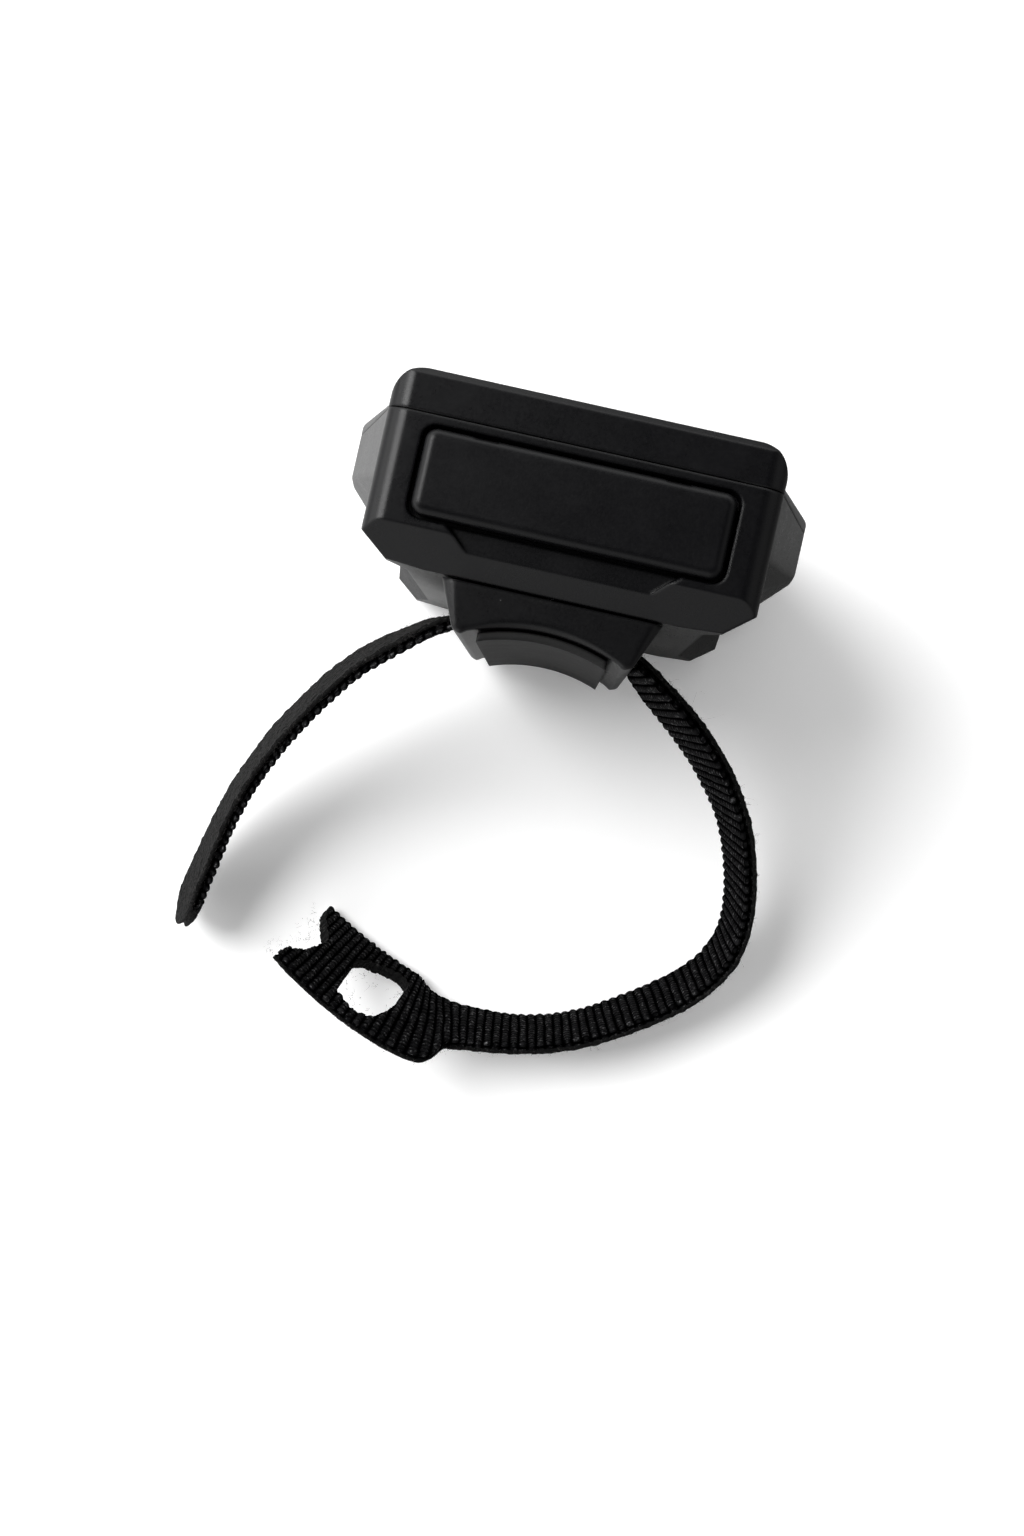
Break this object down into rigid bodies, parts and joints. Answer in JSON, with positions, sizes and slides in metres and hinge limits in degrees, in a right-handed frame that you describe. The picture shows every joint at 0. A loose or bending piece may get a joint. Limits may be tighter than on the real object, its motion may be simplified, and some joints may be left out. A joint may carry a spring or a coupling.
{
  "type": "wireless flash trigger",
  "caption": "Handheld radio trigger for camera flashes: a black two-shell box with side lugs, a hinged port cover at one end, front controls and a saddle mount with a stand tie.",
  "frame": {"origin": "the middle of the far end of the housing, on the surface it rests on, half way through the housing's thickness", "axes": "+X is the width, +Y points out of the front face with the controls, -Y out of the saddle mount, and +Z runs from the resting end to the end with the port cover"},
  "size_m": [0.0867, 0.094, 0.074],
  "materials": {
    "housing_plastic": "fine satin grain, black",
    "cover_plastic": "soft matt black",
    "mount_plastic": "satin black with fine dust specks",
    "overlay_plastic": "smooth glossy black",
    "button_plastic": "matt dark grey",
    "dial_plastic": "matt black",
    "slider_plastic": "matt dark grey",
    "lens_plastic": "clear light pipe",
    "gasket_rubber": "matt black rubber",
    "pad_rubber": "matt dark grey rubber",
    "tie_fabric": "black hook-and-loop webbing, ribbed on one face and fuzzy on the other",
    "foam": "soft grey foam",
    "board": "green solder mask",
    "black_part": "moulded black plastic",
    "tin": "tinned sheet",
    "screw_steel": "plain steel",
    "pin_steel": "drawn steel pin",
    "copper": "copper spring wire",
    "foil": "cell foil",
    "connector_plastic": "natural white nylon",
    "red_wire": "red insulation",
    "black_wire": "black insulation",
    "led_body": "white body"
  },
  "bodies": {
    "housing": {"rear_shell": "housing_plastic", "front_shell": "housing_plastic", "shell_gasket": "gasket_rubber", "front_overlay": "overlay_plastic", "case_screw_1": "screw_steel", "case_screw_2": "screw_steel", "case_screw_3": "screw_steel", "case_screw_4": "screw_steel", "hinge_pin": "pin_steel", "port_panel": "black_part", "usb_socket": "tin", "sync_jack": "black_part", "status_lens": "lens_plastic", "status_led": "led_body", "main_board": "board", "radio_shield": "tin", "controller_chip": "black_part", "test_switch": "black_part", "channel_encoder": "tin", "power_switch": "tin", "antenna_coil": "copper", "battery_cell": "foil", "battery_foam": "foam", "battery_plug": "connector_plastic", "battery_lead_red": "red_wire", "battery_lead_black": "black_wire", "mount_base": "mount_plastic", "mount_screw_1": "screw_steel", "mount_screw_2": "screw_steel", "saddle_pad": "pad_rubber", "stand_tie": "tie_fabric"},
    "port_cover": {"port_cover": "cover_plastic"},
    "test_button": {"test_button": "button_plastic"},
    "channel_dial": {"channel_dial": "dial_plastic"},
    "power_slider": {"power_slider": "slider_plastic"}
  },
  "joints": [
    {"name": "port_cover_hinge", "type": "hinge", "parent": "housing", "child": "port_cover", "pos_m": [0, 0.003, 0.0723], "axis": [-1, 0, 0], "range_deg": [0, 95]},
    {"name": "test_button_press", "type": "slide", "parent": "housing", "child": "test_button", "axis": [0, -1, 0], "range_m": [0, 0.0004], "stiffness_N_per_m": 2000, "springref_m": -0.0005},
    {"name": "channel_dial_turn", "type": "hinge", "parent": "housing", "child": "channel_dial", "pos_m": [0, 0.0056, 0.0285], "axis": [0, 1, 0], "continuous": true},
    {"name": "power_slider_slide", "type": "slide", "parent": "housing", "child": "power_slider", "axis": [1, 0, 0], "range_m": [0, 0.004]}
  ]
}
